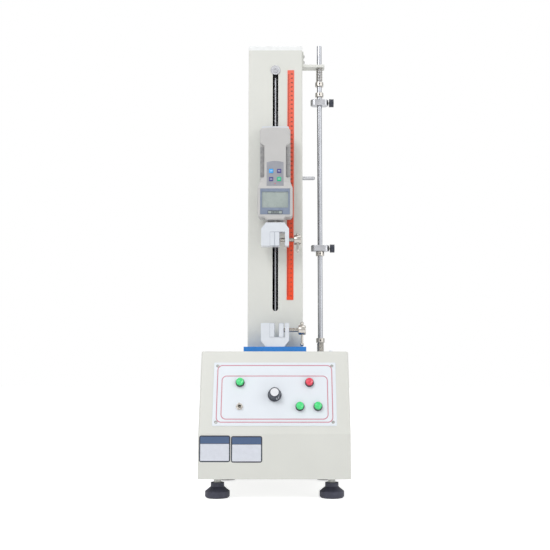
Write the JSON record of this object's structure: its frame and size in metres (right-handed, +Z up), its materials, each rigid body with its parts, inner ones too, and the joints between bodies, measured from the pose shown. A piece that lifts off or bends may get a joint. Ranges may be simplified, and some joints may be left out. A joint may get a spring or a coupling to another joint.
{
  "type": "universal testing machine",
  "caption": "Motorised bench tensile tester: base with sloping control panel, slotted column, driven carriage with force gauge, two screw grips and a sprung limit rod.",
  "frame": {"origin": "middle of the base's footprint, on the floor under the feet", "axes": "+Z up along the column, -Y towards the control panel, +X to the right of someone facing the panel"},
  "size_m": [0.31, 0.38, 0.997],
  "materials": {
    "housing_paint": "satin powder coat, warm white",
    "blue_paint": "blue enamel",
    "panel_sheet": "printed aluminium sheet, pale",
    "ruler_sheet": "orange-red printed strip",
    "white_coat": "white enamel",
    "steel": "turned and ground",
    "bright_steel": "polished plating",
    "bronze": "turned",
    "black_plastic": "moulded",
    "foot_plastic": "moulded",
    "green_cap": "moulded",
    "red_cap": "moulded",
    "gauge_plastic": "moulded, fine texture",
    "keypad_film": "printed film",
    "window_film": "printed window",
    "display_glass": "grey-green display",
    "aluminium": "machined",
    "board": "circuit board"
  },
  "bodies": {
    "frame": {"base_housing": "housing_paint", "bottom_plate": "steel", "rear_panel": "housing_paint", "power_inlet": "black_plastic", "control_electronics": "board", "control_plate": "panel_sheet", "cover_screws": "steel", "control_bodies": "black_plastic", "toggle_switch": "bright_steel", "column_plate": "blue_paint", "column_housing": "housing_paint", "column_cap": "white_coat", "ruler": "ruler_sheet", "guide_screw": "aluminium", "guide_rods": "bright_steel", "bearing_plates": "steel", "drive_motor": "black_plastic", "rod_bracket": "housing_paint", "limit_switches": "black_plastic", "lower_grip_frame": "white_coat", "lower_fixed_jaw": "white_coat"},
    "carriage": {"carriage_block": "aluminium", "carriage_bushings": "bronze", "trip_finger": "bright_steel", "gauge_bracket": "white_coat", "gauge_front_shell": "gauge_plastic", "gauge_rear_shell": "gauge_plastic", "gauge_key_panel": "keypad_film", "gauge_window_frame": "window_film", "gauge_display": "display_glass", "gauge_load_cell": "aluminium", "gauge_shaft": "steel", "upper_grip_frame": "white_coat", "upper_fixed_jaw": "white_coat"},
    "lead_screw": {"lead_screw": "steel", "shaft_coupling": "aluminium"},
    "limit_rod": {"limit_rod": "bright_steel", "rod_collars": "bright_steel", "upper_spring": "bright_steel", "lower_spring": "bright_steel"},
    "upper_stop": {"upper_stop": "bright_steel"},
    "lower_stop": {"lower_stop": "bright_steel"},
    "upper_stop_screw": {"upper_stop_screw": "black_plastic"},
    "lower_stop_screw": {"lower_stop_screw": "black_plastic"},
    "upper_jaw": {"upper_moving_jaw": "white_coat"},
    "lower_jaw": {"lower_moving_jaw": "white_coat"},
    "upper_clamp_screw": {"upper_clamp_screw": "bright_steel"},
    "lower_clamp_screw": {"lower_clamp_screw": "bright_steel"},
    "upper_t_bar": {"upper_t_bar": "bright_steel"},
    "lower_t_bar": {"lower_t_bar": "bright_steel"},
    "toggle_lever": {"toggle_lever": "bright_steel"},
    "speed_knob": {"speed_knob": "black_plastic"},
    "power_button": {"power_button": "green_cap"},
    "stop_button": {"stop_button": "red_cap"},
    "up_button": {"up_button": "green_cap"},
    "down_button": {"down_button": "green_cap"},
    "foot_front_left": {"foot_front_left": "foot_plastic"},
    "foot_front_right": {"foot_front_right": "foot_plastic"},
    "foot_rear_left": {"foot_rear_left": "foot_plastic"},
    "foot_rear_right": {"foot_rear_right": "foot_plastic"}
  },
  "joints": [
    {"name": "carriage_slide", "type": "slide", "parent": "frame", "child": "carriage", "axis": [0, 0, 1], "range_m": [-0.147, 0.161]},
    {"name": "lead_screw_turn", "type": "hinge", "parent": "frame", "child": "lead_screw", "pos_m": [0, -0.017, 0.6], "axis": [0, 0, 1], "range_deg": [-11602, 10594]},
    {"name": "limit_rod_slide", "type": "slide", "parent": "frame", "child": "limit_rod", "axis": [0, 0, 1], "range_m": [-0.004, 0.004], "stiffness_N_per_m": 4000, "springref_m": 0.0019, "deforming": ["upper_spring", "lower_spring"]},
    {"name": "upper_stop_slide", "type": "slide", "parent": "limit_rod", "child": "upper_stop", "axis": [0, 0, 1], "range_m": [-0.161, 0.006]},
    {"name": "lower_stop_slide", "type": "slide", "parent": "limit_rod", "child": "lower_stop", "axis": [0, 0, 1], "range_m": [0, 0.147]},
    {"name": "upper_stop_screw_turn", "type": "hinge", "parent": "upper_stop", "child": "upper_stop_screw", "pos_m": [0.1195, -0.053, 0.863], "axis": [1, 0, 0], "range_deg": [0, 360]},
    {"name": "lower_stop_screw_turn", "type": "hinge", "parent": "lower_stop", "child": "lower_stop_screw", "pos_m": [0.1195, -0.053, 0.53], "axis": [1, 0, 0], "range_deg": [0, 360]},
    {"name": "upper_jaw_slide", "type": "slide", "parent": "carriage", "child": "upper_jaw", "axis": [1, 0, 0], "range_m": [0, 0.0115]},
    {"name": "lower_jaw_slide", "type": "slide", "parent": "frame", "child": "lower_jaw", "axis": [1, 0, 0], "range_m": [-0.0089, 0.0025]},
    {"name": "upper_clamp_turn", "type": "hinge", "parent": "upper_jaw", "child": "upper_clamp_screw", "pos_m": [0.03, -0.111, 0.541], "axis": [1, 0, 0], "range_deg": [0, 2770]},
    {"name": "lower_clamp_turn", "type": "hinge", "parent": "lower_jaw", "child": "lower_clamp_screw", "pos_m": [0.04, -0.111, 0.346], "axis": [1, 0, 0], "range_deg": [-2140, 605]},
    {"name": "upper_t_bar_slide", "type": "slide", "parent": "upper_clamp_screw", "child": "upper_t_bar", "axis": [0, 0.5592, 0.829], "range_m": [0, 0.0166]},
    {"name": "lower_t_bar_slide", "type": "slide", "parent": "lower_clamp_screw", "child": "lower_t_bar", "axis": [0, 0, 1], "range_m": [0, 0.0166]},
    {"name": "toggle_tilt", "type": "hinge", "parent": "frame", "child": "toggle_lever", "pos_m": [-0.072, -0.17463, 0.18692], "axis": [1, 0, 0], "range_deg": [0, 24]},
    {"name": "speed_knob_turn", "type": "hinge", "parent": "frame", "child": "speed_knob", "pos_m": [0, -0.16262, 0.20865], "axis": [0, -0.9417, 0.3363], "range_deg": [0, 296]},
    {"name": "power_button_press", "type": "slide", "parent": "frame", "child": "power_button", "axis": [0, 0.9417, -0.3363], "range_m": [0, 0.003], "stiffness_N_per_m": 500},
    {"name": "stop_button_press", "type": "slide", "parent": "frame", "child": "stop_button", "axis": [0, 0.9417, -0.3363], "range_m": [0, 0.003], "stiffness_N_per_m": 500},
    {"name": "up_button_press", "type": "slide", "parent": "frame", "child": "up_button", "axis": [0, 0.9417, -0.3363], "range_m": [0, 0.003], "stiffness_N_per_m": 500},
    {"name": "down_button_press", "type": "slide", "parent": "frame", "child": "down_button", "axis": [0, 0.9417, -0.3363], "range_m": [0, 0.003], "stiffness_N_per_m": 500},
    {"name": "foot_front_left_turn", "type": "hinge", "parent": "frame", "child": "foot_front_left", "pos_m": [-0.118, -0.145, 0.03], "axis": [0, 0, 1], "range_deg": [-180, 180]},
    {"name": "foot_front_right_turn", "type": "hinge", "parent": "frame", "child": "foot_front_right", "pos_m": [0.118, -0.145, 0.03], "axis": [0, 0, 1], "range_deg": [-180, 180]},
    {"name": "foot_rear_left_turn", "type": "hinge", "parent": "frame", "child": "foot_rear_left", "pos_m": [-0.118, 0.145, 0.03], "axis": [0, 0, 1], "range_deg": [-180, 180]},
    {"name": "foot_rear_right_turn", "type": "hinge", "parent": "frame", "child": "foot_rear_right", "pos_m": [0.118, 0.145, 0.03], "axis": [0, 0, 1], "range_deg": [-180, 180]}
  ],
  "couplings": [
    {"joint": "lead_screw_turn", "follows": "carriage_slide", "rad_per_m": -1256.6},
    {"joint": "upper_clamp_turn", "follows": "upper_jaw_slide", "rad_per_m": 4188.8},
    {"joint": "lower_clamp_turn", "follows": "lower_jaw_slide", "rad_per_m": 4188.8}
  ]
}
